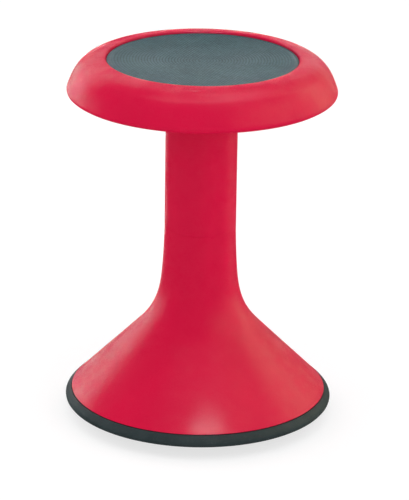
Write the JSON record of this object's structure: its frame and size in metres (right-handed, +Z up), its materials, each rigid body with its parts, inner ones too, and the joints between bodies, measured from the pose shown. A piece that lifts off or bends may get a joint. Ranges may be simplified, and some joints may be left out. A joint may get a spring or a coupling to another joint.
{
  "type": "wobble stool",
  "caption": "Backless active-sitting wobble stool: round seat with a soft grip pad, slim stem flaring into a conical foot, and a domed rubber sole that it rocks on.",
  "frame": {"origin": "middle of the domed sole where it touches the floor", "axes": "+Z up along the stem; the stool is round, so X and Y are free, and +X points between two of the sole's screws"},
  "size_m": [0.33, 0.33, 0.4572],
  "materials": {
    "red_shell": "satin moulded polypropylene, fine grain",
    "grey_pad": "soft matte polyurethane skin with a fine dotted grip texture and a plain border",
    "black_rubber": "matte moulded rubber with fine grooves",
    "black_plate": "glass-filled moulded plastic",
    "grey_carrier": "moulded plastic",
    "plated_steel": "zinc plated",
    "brass_insert": "turned"
  },
  "bodies": {
    "root": {"rubber_sole": "black_rubber", "rocker_plate": "black_plate", "base_shell": "red_shell", "seat_shell": "red_shell", "pad_carrier": "grey_carrier", "seat_pad": "grey_pad", "pad_screw_1": "plated_steel", "pad_screw_2": "plated_steel", "pad_screw_3": "plated_steel", "pad_screw_4": "plated_steel", "rocker_screw_1": "plated_steel", "rocker_screw_2": "plated_steel", "rocker_screw_3": "plated_steel", "rocker_screw_4": "plated_steel", "rocker_screw_5": "plated_steel", "rocker_screw_6": "plated_steel", "stem_washer_1": "plated_steel", "stem_bolt_1": "plated_steel", "stem_insert_1": "brass_insert", "stem_washer_2": "plated_steel", "stem_bolt_2": "plated_steel", "stem_insert_2": "brass_insert", "stem_washer_3": "plated_steel", "stem_bolt_3": "plated_steel", "stem_insert_3": "brass_insert"}
  },
  "joints": []
}
